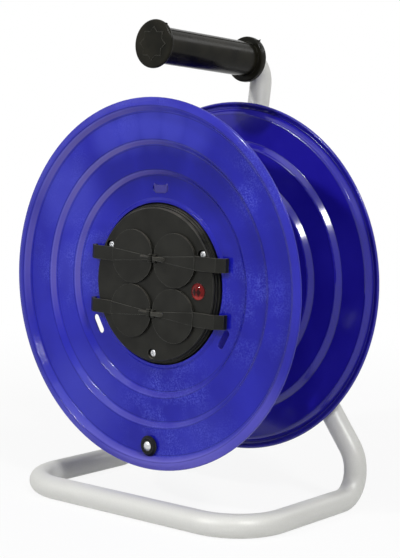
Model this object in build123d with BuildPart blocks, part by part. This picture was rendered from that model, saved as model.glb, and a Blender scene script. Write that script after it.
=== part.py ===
"""Metal cable reel: a steel drum with a four-way socket insert, turning on a bent tube stand.

The origin is on the floor under the middle of the reel's depth. X runs to the right,
Y runs from the socket side to the back, and Z runs up.
"""
from math import atan2, cos, degrees, hypot, radians, sin, sqrt, tan
import os

from build123d import *

os.makedirs("parts", exist_ok=True)

# Socket wells
well_radius = 19.5
well_depth = 17.5
well_wall = 2.0
well_floor = 10.0
well_shift = 1.0
socket_drop = 1.0
contact_width = 5.0
contact_pocket = 1.5
contact_start = 2.5
contact_thickness = 0.8
contact_gap = 0.2
pin_spacing = 19.0
pin_hole_radius = 2.5
pin_floor = 1.0

# Lids
lid_cover = 3.7
lid_side_gap = 0.55
lid_thickness = 2.1
lid_gap = 0.3
hinge_offset = 2.6
hinge_rise = 2.9
hinge_pin_radius = 0.8
knuckle_gap = 0.5
heel_gap = 0.08
ear_width = 1.3
ear_wall = 1.1
rib_width = 3.4
rib_length = 13.0
rib_ramp = 1.4
arm_edge_width = 11.0
arm_edge_rise = 0.5
arm_lap = 0.4
strap_width = 12.0
strap_thickness = 2.0
strap_lap = 3.0
strap_reach = 5.7
strap_slope_run = 6.7
strap_slope_drop = 5.1
strap_hook_gap = 0.5

# Socket insert
insert_margin = 11.8
insert_proud = 7.8
insert_turn = -1.3
insert_wall = 2.4
insert_plate = 3.0
face_chamfer = 0.8
collar_start = 2.9
collar_width = 1.2
collar_pitch = 2.4
collar_lap = 1.5
skirt_room = 16.5
screw_edge = 6.3
screw_recess_radius = 4.4
screw_recess_depth = 3.8
screw_head_radius = 3.4
screw_head_height = 2.1
screw_head_round = 1.2
screw_shank_radius = 1.6
screw_cross_length = 4.0
screw_cross_width = 1.0
screw_cross_depth = 1.1
screw_cross_turn = 20.0
screw_boss_radius = 4.2
screw_boss_length = 14.0
screw_length = 24.6
screw_spokes = (-90, 30, 150)
reset_edge = 16.3
reset_radius = 7.3
reset_rise = 3.0
reset_shoulder = 0.5
reset_bulge = 0.4
reset_flange = 1.2
reset_flange_gap = 0.12
reset_stem = 6.0
carrier_gap = 0.5
carrier_wall = 2.4
carrier_ring_width = 6.3
carrier_lip_gap = 1.4
carrier_cord_radius = 9.0
pillar_radius = 3.4

# Drum
sheet = 1.2
step_height = 5.0
rim_step_height = 6.2
step_run = 4.2
step_fillet = 1.8
rim_depth = -0.7
rim_slope = 15.0
rim_round = 8.0
rim_bead_radius = 1.4
rim_bead_depth = 1.6
rear_rim_cut = 1.3
opening_gap = 3.7
lip_width = 3.4
lip_rise = 1.4
lip_depth = 3.6
lip_edge = 1.0
lip_rounds = [0.4, 0.6, 1.2]
barrel_margin = 5.1
slot_count = 3
slot_length = 18.0
slot_width = 6.0
slot_gap = 1.1
inner_band = 8.6
middle_band = 25.6
outer_band = 28.4
rim_band = 11.8
bearing_hole_radius = 24.0
cord_hole_radius = 10.0
cord_hole_angle = 200.0
grommet_bore_radius = 5.2
grommet_flange = 2.0
grommet_lap = 3.0
grommet_sag = 1.3
screw_hole_gap = 0.1

# Knob seat
knob_edge_gap = 8.0
knob_base_radius = 8.9
knob_foot_chamfer = 1.5
knob_foot_inset = 1.9
knob_top_radius = 7.3
knob_top_chamfer = 0.4
knob_height = 4.2
knob_base_height = 2.3
knob_rim_width = 0.6
knob_screw_radius = 2.5
knob_screw_head = 4.1
knob_screw_head_height = 1.8
knob_nut_width = 8.0
knob_nut_height = 4.0
knob_screw_end = 1.5

# Stand
tube_diameter = 20.0
tube_wall = 1.5
ground_gap = 36.3
front_overhang = 26.4
rear_clearance = 3.1
front_bend = 46.5
foot_bend = 21.7
knee_bend = 34.5
knee_straight = 2.4
apex_bend = 30.0
apex_height = 28.5
leg_angle = 35.9
leg_weld_gap = 14.2

# Grip
grip_start = 2.9
grip_length = 132.6
grip_rise = 44.5
grip_slope = 3.1
grip_radius = 15.6
grip_reach = 21.9
grip_tube_gap = 0.15
grip_end_wall = 4.0
mast_straight = 0.5
disc_radius = 20.6
front_disc_thickness = 3.8
rear_disc_thickness = 6.0
disc_round = 1.5
star_tips = 8
star_tip_radius = 14.2
star_valley_radius = 10.6
star_rise = 0.6
star_turn = 3.0

# Bearing
axle_radius = 8.0
axle_chamfer = 1.0
running_gap = 0.05
bush_radius = 23.9
bush_flange_radius = 32.0
bush_flange = 3.5
bush_body = 19.1
bush_chamfer = 1.0
bush_nose_radius = 14.0
bush_nose_spread = 4.0
bush_ring_height = 4.0
end_float = 0.5
collar_thickness = 3.5
collar_radius = 11.0
plate_thickness = 3.0
plate_lobe_radius = 12.0
washer_radius = 13.0
washer_thickness = 2.0
nut_width = 24.0
nut_height = 8.0
axle_end = 2.5
axle_room = 15.9

# Across the drum, from the wells out to the rim
lid_radius = well_radius + lid_cover
lid_offset = lid_radius + lid_side_gap
well_offset = lid_offset + well_shift
knuckle_radius = hinge_rise - knuckle_gap
ear_radius = hinge_pin_radius + ear_wall
insert_radius = hypot(well_offset, lid_offset + socket_drop) + well_radius + insert_margin
screw_circle_radius = insert_radius - screw_edge
reset_offset = insert_radius - reset_edge
opening_radius = insert_radius + opening_gap
lip_outer_radius = opening_radius + lip_width
strap_end = opening_radius + strap_reach
barrel_radius = lip_outer_radius + barrel_margin
slot_radius = barrel_radius + slot_gap + slot_width / 2
inner_step_radius = slot_radius + slot_width / 2 + inner_band
middle_step_radius = inner_step_radius + middle_band
outer_step_radius = middle_step_radius + outer_band
drum_radius = outer_step_radius + rim_band
knob_circle_radius = outer_step_radius - knob_edge_gap

# Through the drum's depth, from the front rim to the back of the bearing
seat_depth = 2 * step_height + rim_step_height + rim_depth
back_face = seat_depth + sheet
insert_front = seat_depth - insert_proud
plate_back = insert_front + insert_plate
skirt_end = insert_front + well_depth + well_floor + skirt_room
carrier_back = skirt_end + carrier_gap
nut_front = carrier_back + carrier_wall + axle_room + axle_end
washer_back = nut_front + nut_height + washer_thickness
bush_front = washer_back + end_float
seat_back = bush_front + bush_body
drum_width = seat_back + seat_depth

# The stand follows the drum
tube_radius = tube_diameter / 2
axle_height = drum_radius + ground_gap
foot_drop = axle_height - tube_radius
leg_depth = drum_width + rear_clearance + tube_radius
plate_front = leg_depth - tube_radius - plate_thickness
knee_drop = foot_drop - foot_bend - knee_bend * tan(radians(leg_angle / 2)) - knee_straight
base_half_width = (knee_drop + apex_height) * tan(radians(leg_angle))

# The bend behind the grip leads the tube down to the top of the two legs
grip_height = drum_radius + grip_rise
bend_start = grip_start + grip_length + mast_straight
bend_corner = grip_start + grip_length + grip_reach
bend_height = grip_height - (bend_corner - grip_start) * tan(radians(grip_slope))
mast_lean = degrees(atan2(bend_corner - leg_depth, bend_height - apex_height))
bend_turn = 90 + mast_lean - grip_slope
grip_bend = (bend_corner - bend_start) / cos(radians(grip_slope)) / tan(radians(bend_turn / 2))
mast_back = bend_start + grip_bend * (1 - sin(radians(grip_slope)))
middle_depth = (mast_back - front_overhang) / 2


def at_depth(depth):
    """Y of a point that lies this far behind the drum's front rim."""
    return depth - middle_depth


def drum_face(depth, turn=0.0):
    """Plane across the drum's axis that looks forward."""
    return Plane(
        origin=(0, at_depth(depth), axle_height),
        x_dir=(cos(radians(turn)), 0, sin(radians(turn))),
        z_dir=(0, -1, 0),
    )


def insert_face(depth):
    """Plane across the axis, turned with the socket insert."""
    return drum_face(depth, insert_turn)


def hinge_plane(side, row, offset=0.0):
    """Plane square to a lid's hinge, on its axis; local X runs across and local Y into the drum."""
    face = insert_face(insert_front - hinge_rise)
    middle = row * lid_offset - socket_drop + offset
    origin = face.from_local_coords((side * hinge_offset, middle, 0))
    return Plane(origin=origin, x_dir=face.x_dir, z_dir=face.y_dir)


drum_axis = Axis((0, 0, axle_height), (0, 1, 0))
drum_section = Plane(origin=(0, at_depth(0), axle_height), x_dir=(0, 1, 0), z_dir=(1, 0, 0))


def dish_line(start, rim_radius):
    """Front surface of a flange as (depth, radius) points, from the middle out to the rim."""
    slope = radians(rim_slope)
    edge_depth = rim_bead_depth - rim_bead_radius * cos(slope)
    edge_radius = rim_radius - rim_bead_radius * (1 - sin(slope))
    points = list(start)
    points.append((seat_depth, inner_step_radius))
    points.append((seat_depth - step_height, inner_step_radius + step_run))
    points.append((seat_depth - step_height, middle_step_radius))
    points.append((seat_depth - 2 * step_height, middle_step_radius + step_run))
    points.append((seat_depth - 2 * step_height, outer_step_radius))
    points.append((rim_depth, outer_step_radius + step_run))
    points.append((rim_depth, edge_radius - (edge_depth - rim_depth) / tan(slope)))
    points.append((edge_depth, edge_radius))
    return points


# Front flange: a dished steel pressing with a turned lip round its opening
lip_start = [
    (seat_depth + lip_depth, opening_radius),
    (seat_depth - lip_rise, opening_radius + sheet / 4),
    (seat_depth - lip_rise, lip_outer_radius - lip_edge),
    (seat_depth, lip_outer_radius + lip_edge),
]
with BuildPart() as front_flange:
    with BuildSketch(drum_section):
        with BuildLine():
            front_line = dish_line(lip_start, drum_radius)
            FilletPolyline(front_line, radius=lip_rounds + [step_fillet] * 6 + [rim_round])
            offset(amount=sheet, side=Side.RIGHT)
        make_face()
    revolve(axis=drum_axis)
    with BuildSketch(drum_section):
        with Locations((rim_bead_depth, drum_radius - rim_bead_radius)):
            Circle(rim_bead_radius)
    revolve(axis=drum_axis)
    with BuildSketch(drum_face(0)):
        with PolarLocations(slot_radius, slot_count, start_angle=90):
            SlotOverall(slot_length, slot_width, rotation=90)
    extrude(amount=-2 * back_face, mode=Mode.SUBTRACT)
    with BuildSketch(drum_face(0)):
        with Locations((0, -knob_circle_radius)):
            Circle(knob_screw_radius + screw_hole_gap)
    extrude(amount=-2 * back_face, mode=Mode.SUBTRACT)
front_flange.part.label = "front_flange"
export_step(front_flange.part, "parts/front_flange.step")


# Rear flange: the same dished pressing, closed in to the bearing hole
rear_radius = drum_radius - rear_rim_cut
rear_section = Plane(origin=(0, at_depth(drum_width), axle_height), x_dir=(0, -1, 0), z_dir=(-1, 0, 0))
with BuildPart() as rear_flange:
    with BuildSketch(rear_section):
        with BuildLine():
            rear_line = dish_line([(seat_depth, bearing_hole_radius)], rear_radius)
            FilletPolyline(rear_line, radius=[step_fillet] * 6 + [rim_round])
            offset(amount=sheet, side=Side.RIGHT)
        make_face()
    revolve(axis=drum_axis)
    with BuildSketch(rear_section):
        with Locations((rim_bead_depth, rear_radius - rim_bead_radius)):
            Circle(rim_bead_radius)
    revolve(axis=drum_axis)
rear_flange.part.label = "rear_flange"
export_step(rear_flange.part, "parts/rear_flange.step")


def radial_plane(radius):
    """Plane square to the cord hole's own axis, this far from the drum's axis."""
    turn = radians(cord_hole_angle)
    return Plane(
        origin=(radius * cos(turn), at_depth(drum_width / 2), axle_height + radius * sin(turn)),
        x_dir=(0, 1, 0),
        z_dir=(cos(turn), 0, sin(turn)),
    )


# Barrel: a rolled sheet ring between the flanges, with the hole that the cord passes
with BuildPart() as barrel:
    with BuildSketch(drum_face(back_face)):
        Circle(barrel_radius)
        Circle(barrel_radius - sheet, mode=Mode.SUBTRACT)
    extrude(amount=2 * back_face - drum_width)
    with BuildSketch(radial_plane(0)):
        Circle(cord_hole_radius)
    extrude(amount=barrel_radius + sheet, mode=Mode.SUBTRACT)
barrel.part.label = "barrel"
export_step(barrel.part, "parts/barrel.step")

# Grommet in the barrel's cord hole
grommet_inner = barrel_radius - sheet - grommet_sag
with BuildPart() as cord_grommet:
    with BuildSketch(radial_plane(grommet_inner - grommet_flange)):
        Circle(cord_hole_radius + grommet_lap)
    extrude(amount=grommet_flange)
    with BuildSketch(radial_plane(barrel_radius + screw_hole_gap)):
        Circle(cord_hole_radius + grommet_lap)
    extrude(amount=grommet_flange)
    with BuildSketch(radial_plane(grommet_inner - grommet_flange)):
        Circle(cord_hole_radius - screw_hole_gap)
    extrude(amount=barrel_radius + screw_hole_gap - grommet_inner + grommet_flange)
    with BuildSketch(radial_plane(grommet_inner - grommet_flange)):
        Circle(grommet_bore_radius)
    extrude(amount=barrel_radius, mode=Mode.SUBTRACT)
cord_grommet.part.label = "cord_grommet"
export_step(cord_grommet.part, "parts/cord_grommet.step")

# Bearing bush: carries the rear flange on the axle
nose_end = plate_front - collar_thickness - end_float
with BuildPart() as bearing_bush:
    with BuildSketch(drum_section):
        with BuildLine():
            Polyline(
                (bush_front, axle_radius + running_gap),
                (bush_front, bush_radius - bush_chamfer),
                (bush_front + bush_chamfer, bush_radius),
                (seat_back, bush_radius),
                (seat_back, bush_flange_radius),
                (seat_back + bush_flange - bush_chamfer, bush_flange_radius),
                (seat_back + bush_flange, bush_flange_radius - bush_chamfer),
                (seat_back + bush_flange, bush_nose_radius + bush_nose_spread),
                (nose_end, bush_nose_radius),
                (nose_end, axle_radius + running_gap),
                close=True,
            )
        make_face()
    revolve(axis=drum_axis)
bearing_bush.part.label = "bearing_bush"
export_step(bearing_bush.part, "parts/bearing_bush.step")

# Ring that holds the bush from inside the drum
with BuildPart() as bush_ring:
    with BuildSketch(drum_face(drum_width - back_face)):
        RegularPolygon(bush_flange_radius, 8, major_radius=False)
        Circle(bearing_hole_radius, mode=Mode.SUBTRACT)
    extrude(amount=bush_ring_height)
bush_ring.part.label = "bush_ring"
export_step(bush_ring.part, "parts/bush_ring.step")

# Socket insert: a moulded face with two stepped collars, a skirt and four socket wells
collar_front = insert_front + collar_start
collar_end = seat_depth + lip_depth + collar_lap
boss_end = plate_back + screw_boss_length
screw_points = [
    (screw_circle_radius * cos(radians(spoke)), screw_circle_radius * sin(radians(spoke)))
    for spoke in screw_spokes
]
lid_places = [(side, row) for row in (1, -1) for side in (-1, 1)]
lid_centres = [(side * lid_offset, row * lid_offset - socket_drop) for side, row in lid_places]
well_centres = [(side * well_offset, row * lid_offset - socket_drop) for side, row in lid_places]
with BuildPart() as socket_insert:
    with BuildSketch(drum_section):
        with BuildLine():
            Polyline(
                (insert_front, 0),
                (insert_front, insert_radius - face_chamfer),
                (insert_front + face_chamfer, insert_radius),
                (collar_front, insert_radius),
                (collar_front, insert_radius + collar_width),
                (collar_front + collar_pitch, insert_radius + collar_width),
                (collar_front + collar_pitch, insert_radius + 2 * collar_width),
                (collar_end, insert_radius + 2 * collar_width),
                (collar_end, insert_radius),
                (skirt_end, insert_radius),
                (skirt_end, insert_radius - insert_wall),
                (plate_back, insert_radius - insert_wall),
                (plate_back, 0),
                close=True,
            )
        make_face()
    revolve(axis=drum_axis)
    with BuildSketch(insert_face(plate_back)):
        with Locations(*well_centres):
            Circle(well_radius + well_wall)
    extrude(amount=plate_back - insert_front - well_depth - well_floor)
    with BuildSketch(insert_face(insert_front)):
        with Locations(*well_centres):
            Circle(well_radius)
    extrude(amount=-well_depth, mode=Mode.SUBTRACT)
    with BuildSketch(insert_face(insert_front + well_depth)):
        for centre in well_centres:
            left_pin = (centre[0] - pin_spacing / 2, centre[1])
            right_pin = (centre[0] + pin_spacing / 2, centre[1])
            with Locations(left_pin, right_pin):
                Circle(pin_hole_radius)
    extrude(amount=pin_floor - well_floor, mode=Mode.SUBTRACT)
    with BuildSketch(insert_face(insert_front + contact_start)):
        for centre in well_centres:
            with Locations((centre[0], centre[1] - well_radius), (centre[0], centre[1] + well_radius)):
                Rectangle(contact_width + 2 * contact_gap, 2 * contact_pocket)
    extrude(amount=contact_start - well_depth, mode=Mode.SUBTRACT)
    with BuildSketch(insert_face(plate_back)):
        with Locations(*screw_points):
            Circle(screw_boss_radius)
    extrude(amount=plate_back - boss_end)
    with BuildSketch(insert_face(insert_front)):
        with Locations(*screw_points):
            Circle(screw_recess_radius)
    extrude(amount=-screw_recess_depth, mode=Mode.SUBTRACT)
    with BuildSketch(insert_face(insert_front)):
        with Locations(*screw_points):
            Circle(screw_shank_radius + screw_hole_gap)
        with Locations((reset_offset, -socket_drop)):
            Circle(reset_radius + screw_hole_gap)
    extrude(amount=insert_front - boss_end, mode=Mode.SUBTRACT)
    for side, row in lid_places:
        for ear in (-1, 1):
            ear_offset = ear * (rib_width / 2 + lid_gap + ear_width / 2)
            with BuildSketch(hinge_plane(side, row, ear_offset)):
                Circle(ear_radius)
                with Locations((0, (hinge_rise + face_chamfer) / 2)):
                    Rectangle(2 * ear_radius, hinge_rise + face_chamfer)
                Circle(hinge_pin_radius + running_gap, mode=Mode.SUBTRACT)
            extrude(amount=ear_width / 2, both=True)
socket_insert.part.label = "socket_insert"
export_step(socket_insert.part, "parts/socket_insert.step")

# Carrier behind the flange: a bowl that the insert is screwed to
carrier_inner = insert_radius + carrier_gap
ring_outer = barrel_radius - sheet - carrier_gap
ring_inner = lip_outer_radius + carrier_lip_gap
with BuildPart() as insert_carrier:
    with BuildSketch(drum_section):
        with BuildLine():
            Polyline(
                (back_face, ring_inner),
                (back_face, ring_outer),
                (back_face + carrier_ring_width, ring_outer),
                (back_face + carrier_ring_width, carrier_inner + carrier_wall),
                (carrier_back + carrier_wall, carrier_inner + carrier_wall),
                (carrier_back + carrier_wall, carrier_cord_radius),
                (carrier_back, carrier_cord_radius),
                (carrier_back, carrier_inner),
                (collar_end, carrier_inner),
                (collar_end, ring_inner),
                close=True,
            )
        make_face()
    revolve(axis=drum_axis)
    with BuildSketch(insert_face(boss_end)):
        with Locations(*screw_points):
            Circle(pillar_radius)
            Circle(screw_shank_radius + running_gap, mode=Mode.SUBTRACT)
    extrude(amount=boss_end - carrier_back - carrier_wall / 2)
insert_carrier.part.label = "insert_carrier"
export_step(insert_carrier.part, "parts/insert_carrier.step")

# Three pan head screws in the insert's face
for number, screw_point in enumerate(screw_points, start=1):
    head_seat = insert_face(insert_front + screw_recess_depth)
    with BuildPart() as insert_screw:
        with BuildSketch(head_seat):
            with Locations(screw_point):
                Circle(screw_head_radius)
        extrude(amount=screw_head_height)
        fillet(insert_screw.edges().sort_by(Axis.Y)[0], radius=screw_head_round)
        with BuildSketch(head_seat):
            with Locations(screw_point):
                Circle(screw_shank_radius)
        extrude(amount=-screw_length)
        with BuildSketch(insert_face(insert_front + screw_recess_depth - screw_head_height)):
            with Locations(screw_point):
                Rectangle(screw_cross_length, screw_cross_width, rotation=number * screw_cross_turn)
                Rectangle(screw_cross_width, screw_cross_length, rotation=number * screw_cross_turn)
        extrude(amount=-screw_cross_depth, mode=Mode.SUBTRACT)
    insert_screw.part.label = f"insert_screw_{number}"
    export_step(insert_screw.part, f"parts/insert_screw_{number}.step")

# Earth contacts: sprung strips set flush in the top and bottom of each well
with BuildPart() as earth_contacts:
    with BuildSketch(insert_face(insert_front + contact_start + contact_gap)):
        for centre in well_centres:
            for end in (-1, 1):
                with Locations((centre[0], centre[1] + end * (well_radius + contact_pocket / 2))):
                    Rectangle(contact_width, contact_thickness)
    extrude(amount=contact_start + contact_gap - well_depth)
earth_contacts.part.label = "earth_contacts"
export_step(earth_contacts.part, "parts/earth_contacts.step")

# Reset button: a low dome on a flanged stem that slides in the insert's face
reset_axis_point = insert_face(0).from_local_coords((reset_offset, -socket_drop, 0))
reset_axis = Axis(reset_axis_point, (0, 1, 0))
reset_section = Plane(origin=reset_axis_point, x_dir=(0, 1, 0), z_dir=(1, 0, 0))
reset_front = insert_front - reset_rise
flange_front = plate_back + reset_flange_gap
with BuildPart() as reset_button:
    with BuildSketch(reset_section):
        with BuildLine():
            dome = ThreePointArc(
                (reset_front, 0),
                (reset_front + reset_bulge, reset_radius / 2),
                (insert_front - reset_shoulder, reset_radius),
            )
            Polyline(
                dome @ 1,
                (flange_front, reset_radius),
                (flange_front, reset_radius + reset_flange),
                (flange_front + reset_flange, reset_radius + reset_flange),
                (flange_front + reset_flange, reset_radius / 2),
                (plate_back + reset_stem, reset_radius / 2),
                (plate_back + reset_stem, 0),
                dome @ 0,
            )
        make_face()
    revolve(axis=reset_axis)
reset_button.part.label = "reset_button"
export_step(reset_button.part, "parts/reset_button.step")

# Lids: each a disc with a raised arm, a hinge rib and a strap that reaches past the flange's lip
lid_back = insert_front - lid_gap
lid_top = lid_back - lid_thickness
heel_reach = sqrt(hinge_rise**2 - (hinge_rise - lid_gap) ** 2) - heel_gap
arm_start = hinge_offset + knuckle_radius
arm_end = lid_offset + lid_radius - arm_lap
notch_end = arm_start + lid_gap
notch_width = rib_width + 2 * (2 * lid_gap + ear_width)
strap_start = lid_offset + lid_radius - strap_lap
slope_start = strap_end - strap_slope_run
hook_end = seat_depth - strap_hook_gap
for (side, row), centre in zip(lid_places, lid_centres):
    # Depths behind the hinge's axis, as the profiles across the hinge are drawn
    back = hinge_rise - lid_gap
    front = back - lid_thickness
    slope_end = front + strap_slope_drop
    hook = hook_end - insert_front + hinge_rise
    with BuildPart() as lid:
        with BuildSketch(insert_face(lid_back)):
            with Locations(centre):
                Circle(lid_radius)
            with Locations((side * notch_end / 2, centre[1])):
                Rectangle(notch_end, notch_width, mode=Mode.SUBTRACT)
            with Locations((side * (hinge_offset - heel_reach) / 2, centre[1])):
                Rectangle(hinge_offset - heel_reach, lid_radius, mode=Mode.SUBTRACT)
        extrude(amount=lid_thickness)
        with BuildSketch(hinge_plane(side, row)):
            Circle(knuckle_radius)
            with BuildLine():
                Polyline(
                    (0, -knuckle_radius),
                    (side * (rib_length - rib_ramp - hinge_offset), -knuckle_radius),
                    (side * (rib_length - hinge_offset), front),
                    (side * (rib_length - hinge_offset), back - lid_gap),
                    (0, back - lid_gap),
                    close=True,
                )
            make_face()
        extrude(amount=rib_width / 2, both=True)
        with BuildSketch(hinge_plane(side, row)):
            Circle(hinge_pin_radius)
        extrude(amount=rib_width / 2 + lid_gap + ear_width, both=True)
        with BuildSketch(insert_face(lid_top + arm_edge_rise)):
            with BuildLine():
                Polyline(
                    (side * arm_start, centre[1] - rib_width / 2),
                    (side * arm_end, centre[1] - arm_edge_width / 2),
                    (side * arm_end, centre[1] + arm_edge_width / 2),
                    (side * arm_start, centre[1] + rib_width / 2),
                    close=True,
                )
            make_face()
        extrude(amount=2 * arm_edge_rise)
        with BuildSketch(hinge_plane(side, row)):
            with BuildLine():
                Polyline(
                    (side * (strap_start - hinge_offset), front),
                    (side * (slope_start - hinge_offset), front),
                    (side * (strap_end - hinge_offset), slope_end),
                    (side * (strap_end - hinge_offset), hook),
                    (side * (strap_end - strap_thickness - hinge_offset), hook),
                    (side * (strap_end - strap_thickness - hinge_offset), slope_end + strap_thickness / 2),
                    (side * (slope_start - strap_thickness / 2 - hinge_offset), front + strap_thickness),
                    (side * (strap_start - hinge_offset), front + strap_thickness),
                    close=True,
                )
            make_face()
        extrude(amount=strap_width / 2, both=True)
    lid_name = f"lid_{'upper' if row > 0 else 'lower'}_{'right' if side > 0 else 'left'}"
    lid.part.label = lid_name
    export_step(lid.part, f"parts/{lid_name}.step")

# Knob seat: the low black boss that the winding knob turns on, with its screw and nut
knob_point = drum_face(0).from_local_coords((0, -knob_circle_radius, 0))
knob_axis = Axis(knob_point, (0, 1, 0))
knob_section = Plane(origin=knob_point, x_dir=(0, 1, 0), z_dir=(1, 0, 0))
knob_foot = seat_depth - 2 * step_height
knob_front = knob_foot - knob_height
head_seat_depth = knob_front + knob_rim_width
head_front = head_seat_depth - knob_screw_head_height
with BuildPart() as knob_seat:
    with BuildSketch(knob_section):
        with BuildLine():
            Polyline(
                (knob_foot, knob_screw_radius + screw_hole_gap),
                (knob_foot, knob_base_radius - knob_foot_inset),
                (knob_foot - knob_foot_chamfer, knob_base_radius),
                (knob_foot - knob_base_height, knob_base_radius),
                (knob_front + knob_top_chamfer, knob_top_radius),
                (knob_front, knob_top_radius - knob_top_chamfer),
                (knob_front, knob_screw_head + knob_rim_width),
                (head_seat_depth, knob_screw_head + knob_top_chamfer),
                (head_seat_depth, knob_screw_radius + screw_hole_gap),
                close=True,
            )
        make_face()
    revolve(axis=knob_axis)
knob_seat.part.label = "knob_seat"
export_step(knob_seat.part, "parts/knob_seat.step")

knob_nut_seat = knob_foot + sheet
with BuildPart() as knob_screw:
    with BuildSketch(knob_section):
        with BuildLine():
            head_arc = ThreePointArc(
                (head_front, 0),
                (head_front + knob_screw_head_height / 5, knob_screw_head / 2),
                (head_seat_depth - knob_screw_head_height / 8, knob_screw_head),
            )
            Polyline(
                head_arc @ 1,
                (head_seat_depth, knob_screw_head),
                (head_seat_depth, knob_screw_radius),
                (knob_nut_seat + knob_nut_height + knob_screw_end, knob_screw_radius),
                (knob_nut_seat + knob_nut_height + knob_screw_end, 0),
                head_arc @ 0,
            )
        make_face()
    revolve(axis=knob_axis)
knob_screw.part.label = "knob_screw"
export_step(knob_screw.part, "parts/knob_screw.step")

with BuildPart() as knob_nut:
    with BuildSketch(drum_face(knob_nut_seat)):
        with Locations((0, -knob_circle_radius)):
            RegularPolygon(knob_nut_width / 2, 6, major_radius=False)
            Circle(knob_screw_radius + running_gap, mode=Mode.SUBTRACT)
    extrude(amount=-knob_nut_height)
knob_nut.part.label = "knob_nut"
export_step(knob_nut.part, "parts/knob_nut.step")

# Stand: one bent tube, from the grip down to the hub, round the base and back up
tube_start = grip_start + grip_end_wall


def grip_line(depth):
    """Height above the axle of the grip's sloping axis at this depth."""
    return grip_height - (depth - grip_start) * tan(radians(grip_slope))


def stand_point(side, depth, height):
    """Point of the stand: across, behind the front rim, and above the axle."""
    return Vector(side, at_depth(depth), axle_height + height)


apex = stand_point(0, leg_depth, apex_height)
right_knee = stand_point(base_half_width, leg_depth, -knee_drop)
stand_route = [
    stand_point(0, tube_start, grip_line(tube_start)),
    stand_point(0, bend_corner, grip_line(bend_corner)),
    apex,
    stand_point(-base_half_width, leg_depth, -knee_drop),
    stand_point(-base_half_width, leg_depth, -foot_drop),
    stand_point(-base_half_width, -front_overhang, -foot_drop),
    stand_point(base_half_width, -front_overhang, -foot_drop),
    stand_point(base_half_width, leg_depth, -foot_drop),
    right_knee,
    apex + (right_knee - apex).normalized() * leg_weld_gap,
]
stand_bends = [grip_bend, apex_bend, knee_bend, foot_bend, front_bend, front_bend, foot_bend, knee_bend]
with BuildPart() as frame_tube:
    with BuildLine() as tube_path:
        FilletPolyline(stand_route, radius=stand_bends)
    with BuildSketch(Plane(origin=tube_path.line @ 0, z_dir=tube_path.line % 0)):
        Circle(tube_radius)
        Circle(tube_radius - tube_wall, mode=Mode.SUBTRACT)
    sweep()
frame_tube.part.label = "frame_tube"
export_step(frame_tube.part, "parts/frame_tube.step")

# Grip: a moulded sleeve with a disc at each end, closed at the front
grip_tilt = radians(grip_slope)
grip_plane = Plane(
    origin=stand_point(0, grip_start, grip_height),
    x_dir=(0, cos(grip_tilt), -sin(grip_tilt)),
    z_dir=(1, 0, 0),
)
star_outline = []
for corner in range(2 * star_tips):
    corner_radius = star_valley_radius if corner % 2 else star_tip_radius
    corner_angle = radians(star_turn + corner * 180 / star_tips)
    star_outline.append((corner_radius * sin(corner_angle), corner_radius * cos(corner_angle)))
with BuildPart() as grip:
    with BuildSketch(grip_plane) as grip_profile:
        with BuildLine():
            Polyline(
                (0, 0),
                (0, disc_radius),
                (front_disc_thickness, disc_radius),
                (front_disc_thickness, grip_radius),
                (grip_length - rear_disc_thickness, grip_radius),
                (grip_length - rear_disc_thickness, disc_radius),
                (grip_length, disc_radius),
                (grip_length, tube_radius + grip_tube_gap),
                (grip_end_wall - grip_tube_gap, tube_radius + grip_tube_gap),
                (grip_end_wall - grip_tube_gap, 0),
                close=True,
            )
        make_face()
        rim_height = grip_radius + disc_round
        rims = grip_profile.vertices().filter_by(lambda end: grip_plane.to_local_coords(end).Y > rim_height)
        fillet(rims, radius=disc_round)
    revolve(axis=Axis(grip_plane.origin, grip_plane.x_dir))
    with BuildSketch(Plane(origin=grip_plane.origin, x_dir=(1, 0, 0), z_dir=-grip_plane.x_dir)):
        with BuildLine():
            Polyline(star_outline, close=True)
        make_face()
    extrude(amount=star_rise)
grip.part.label = "grip"
export_step(grip.part, "parts/grip.step")

# Hub plate: welded across the tops of the legs and the foot of the mast
plate_rear = leg_depth - tube_radius
lobe_reach = leg_weld_gap + plate_lobe_radius + tube_radius
with BuildPart() as hub_plate:
    with BuildSketch(drum_face(plate_rear)):
        with Locations((0, apex_height)):
            Circle(plate_lobe_radius)
        for side in (-1, 1):
            foot_x = side * lobe_reach * sin(radians(leg_angle))
            with Locations((foot_x, apex_height - lobe_reach * cos(radians(leg_angle)) - tube_radius)):
                Circle(plate_lobe_radius)
        make_hull()
        Circle(axle_radius + running_gap, mode=Mode.SUBTRACT)
    extrude(amount=plate_thickness)
hub_plate.part.label = "hub_plate"
export_step(hub_plate.part, "parts/hub_plate.step")

# Axle: a turned pin with a collar in front of the plate
axle_tip = nut_front - axle_end
with BuildPart() as axle:
    with BuildSketch(drum_section):
        with BuildLine():
            Polyline(
                (axle_tip, 0),
                (axle_tip, axle_radius - axle_chamfer),
                (axle_tip + axle_chamfer, axle_radius),
                (plate_front - collar_thickness, axle_radius),
                (plate_front - collar_thickness, collar_radius),
                (plate_front, collar_radius),
                (plate_front, axle_radius),
                (plate_rear, axle_radius),
                (plate_rear, 0),
                close=True,
            )
        make_face()
    revolve(axis=drum_axis)
axle.part.label = "axle"
export_step(axle.part, "parts/axle.step")

with BuildPart() as axle_washer:
    with BuildSketch(drum_face(washer_back)):
        Circle(washer_radius)
        Circle(axle_radius + running_gap, mode=Mode.SUBTRACT)
    extrude(amount=washer_thickness)
axle_washer.part.label = "axle_washer"
export_step(axle_washer.part, "parts/axle_washer.step")

with BuildPart() as axle_nut:
    with BuildSketch(drum_face(washer_back - washer_thickness)):
        RegularPolygon(nut_width / 2, 6, major_radius=False)
        Circle(axle_radius + running_gap, mode=Mode.SUBTRACT)
    extrude(amount=nut_height)
axle_nut.part.label = "axle_nut"
export_step(axle_nut.part, "parts/axle_nut.step")
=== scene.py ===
import math

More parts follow.
